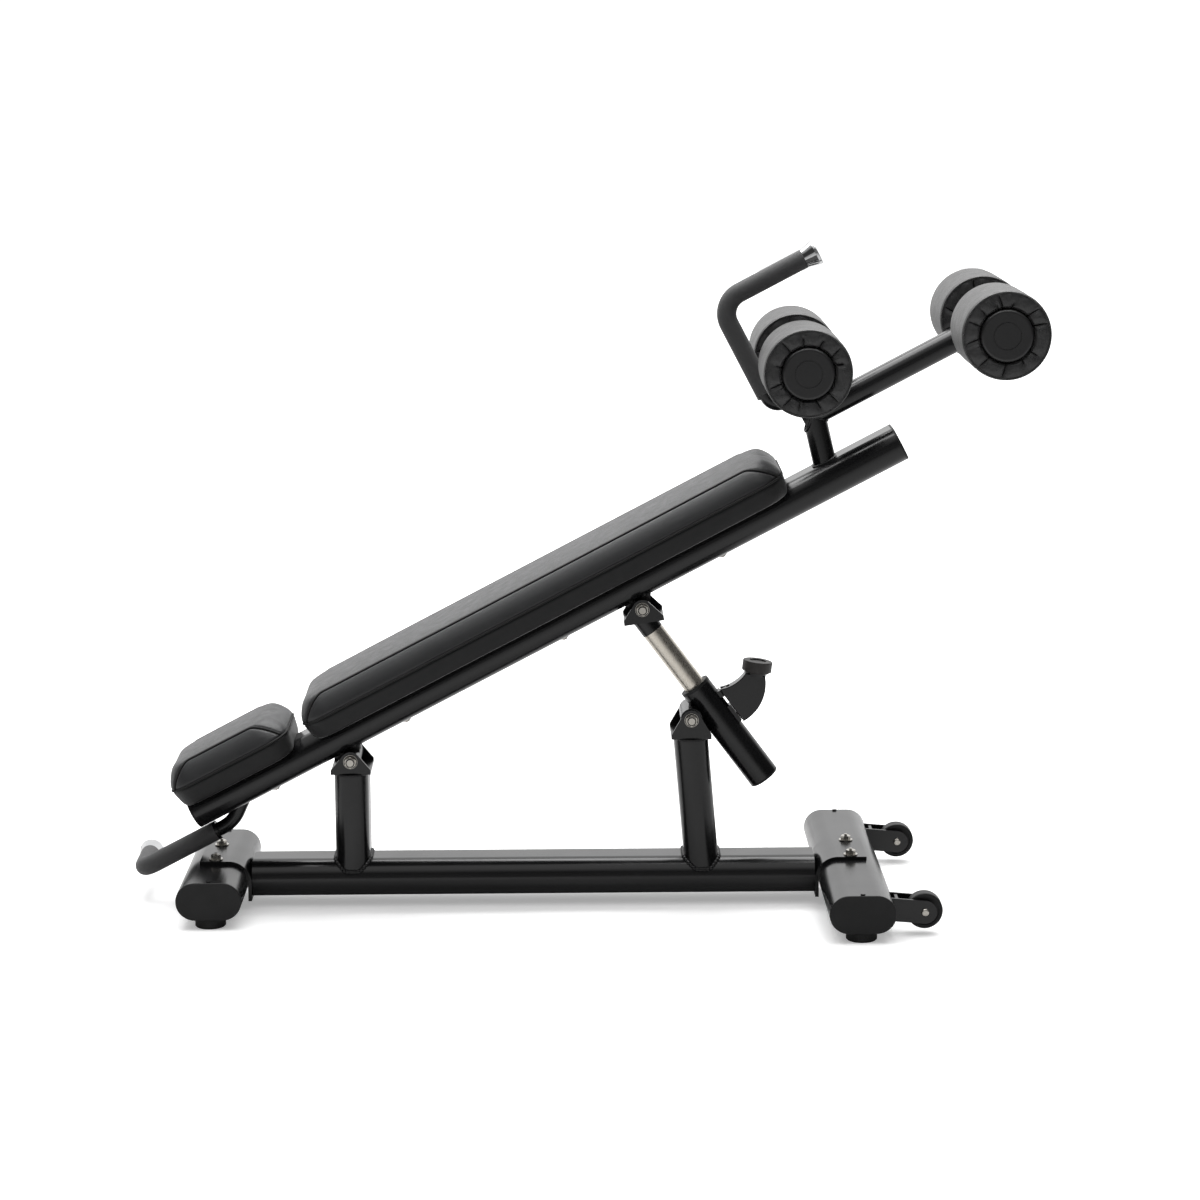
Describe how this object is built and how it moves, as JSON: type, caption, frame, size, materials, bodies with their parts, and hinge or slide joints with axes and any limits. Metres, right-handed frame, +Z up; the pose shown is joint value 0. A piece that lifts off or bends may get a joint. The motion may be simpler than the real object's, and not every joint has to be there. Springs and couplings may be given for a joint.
{
  "type": "decline sit-up bench",
  "caption": "Decline sit-up bench: sloping padded beam on an H base with a telescopic lock strut, knee and ankle rollers, two grip handles and transport wheels.",
  "frame": {"origin": "floor level under the middle of the bench's overall box", "axes": "+X along the bench towards the leg rollers, +Y across it, +Z up"},
  "size_m": [1.5773, 0.598, 1.1603],
  "materials": {
    "frame_paint": "semi-gloss black powder coat",
    "leather_black": "grained charcoal upholstery",
    "board": "painted board",
    "rubber_black": "matt",
    "plastic_black": "fine satin",
    "foam_grip": "matt foam",
    "chrome": "polished",
    "strut_chrome": "satin nickel",
    "zinc": "bright zinc"
  },
  "bodies": {
    "base": {"base_beam": "frame_paint", "pivot_post": "frame_paint", "strut_post": "frame_paint", "pivot_clevis": "frame_paint", "strut_clevis": "frame_paint", "saddle_brackets": "frame_paint", "head_crossbar": "frame_paint", "wheel_crossbar": "frame_paint", "crossbar_end_caps": "plastic_black", "cap_screws": "frame_paint", "saddle_bolts": "zinc", "washers": "zinc", "rubber_feet": "rubber_black", "wheel_forks": "frame_paint", "wheel_axles": "zinc", "pivot_bolts": "zinc", "pivot_nuts": "zinc"},
    "bench": {"main_beam": "frame_paint", "beam_end_caps": "plastic_black", "beam_bosses": "frame_paint", "pivot_bushes": "plastic_black", "back_pad": "leather_black", "back_pad_board": "board", "head_pad": "leather_black", "head_pad_board": "board", "pad_bolts": "zinc", "upright": "frame_paint", "leg_tube": "frame_paint", "knee_riser": "frame_paint", "knee_axle": "zinc", "ankle_axle": "zinc", "support_handle": "frame_paint", "support_handle_grip": "foam_grip", "transport_handle": "frame_paint", "transport_handle_grip": "foam_grip", "handle_end_caps": "chrome"},
    "knee_roller_near": {"knee_roller_pad_near": "leather_black", "knee_roller_hub_near": "plastic_black"},
    "knee_roller_far": {"knee_roller_pad_far": "leather_black", "knee_roller_hub_far": "plastic_black"},
    "ankle_roller_near": {"ankle_roller_pad_near": "leather_black", "ankle_roller_hub_near": "plastic_black"},
    "ankle_roller_far": {"ankle_roller_pad_far": "leather_black", "ankle_roller_hub_far": "plastic_black"},
    "wheel_near": {"transport_wheel_near": "plastic_black"},
    "wheel_far": {"transport_wheel_far": "plastic_black"},
    "strut_cylinder": {"strut_outer_tube": "frame_paint", "strut_bushes": "plastic_black", "strut_guide_bush": "plastic_black", "strut_bottom_plug": "plastic_black", "lever_pin": "frame_paint"},
    "strut_ram": {"strut_inner_tube": "strut_chrome", "upper_clevis": "frame_paint", "upper_clevis_bolt": "zinc", "upper_clevis_nut": "zinc", "upper_clevis_washers": "zinc"},
    "release_lever": {"release_lever": "frame_paint", "lever_knob": "plastic_black"},
    "lock_plunger": {"lock_plunger": "zinc"}
  },
  "joints": [
    {"name": "bench_tilt", "type": "hinge", "parent": "base", "child": "bench", "pos_m": [-0.3943, 0, 0.2627], "axis": [0, -1, 0], "range_deg": [-7.15, 0.8]},
    {"name": "strut_swing", "type": "hinge", "parent": "base", "child": "strut_cylinder", "pos_m": [0.2008, 0, 0.3326], "axis": [0, -1, 0], "range_deg": [-0.66, 5.14]},
    {"name": "strut_extend", "type": "slide", "parent": "strut_cylinder", "child": "strut_ram", "axis": [-0.5962, 0, 0.8028], "range_m": [-0.07438, 0.00877]},
    {"name": "lever_lift", "type": "hinge", "parent": "strut_cylinder", "child": "release_lever", "pos_m": [0.26172, 0, 0.37535], "axis": [0, -1, 0], "range_deg": [0, 9], "stiffness_Nm_per_rad": 3, "springref_deg": -5.73},
    {"name": "lock_plunger_slide", "type": "slide", "parent": "strut_cylinder", "child": "lock_plunger", "axis": [0.8028, 0, 0.5962], "range_m": [0, 0.008]},
    {"name": "knee_roller_near_spin", "type": "hinge", "parent": "bench", "child": "knee_roller_near", "pos_m": [0.38774, -0.14, 0.95553], "axis": [0, 1, 0], "continuous": true},
    {"name": "knee_roller_far_spin", "type": "hinge", "parent": "bench", "child": "knee_roller_far", "pos_m": [0.38774, 0.14, 0.95553], "axis": [0, 1, 0], "continuous": true},
    {"name": "ankle_roller_near_spin", "type": "hinge", "parent": "bench", "child": "ankle_roller_near", "pos_m": [0.7132, -0.15, 1.01862], "axis": [0, 1, 0], "continuous": true},
    {"name": "ankle_roller_far_spin", "type": "hinge", "parent": "bench", "child": "ankle_roller_far", "pos_m": [0.7132, 0.15, 1.01862], "axis": [0, 1, 0], "continuous": true},
    {"name": "wheel_near_spin", "type": "hinge", "parent": "base", "child": "wheel_near", "pos_m": [0.5893, -0.2353, 0.0419], "axis": [0, 1, 0], "continuous": true},
    {"name": "wheel_far_spin", "type": "hinge", "parent": "base", "child": "wheel_far", "pos_m": [0.5893, 0.2353, 0.0419], "axis": [0, 1, 0], "continuous": true}
  ],
  "couplings": [
    {"joint": "strut_swing", "follows": "bench_tilt", "ratio": -0.705},
    {"joint": "strut_extend", "follows": "bench_tilt", "m_per_rad": 0.592},
    {"joint": "lock_plunger_slide", "follows": "lever_lift", "m_per_rad": 0.048}
  ]
}
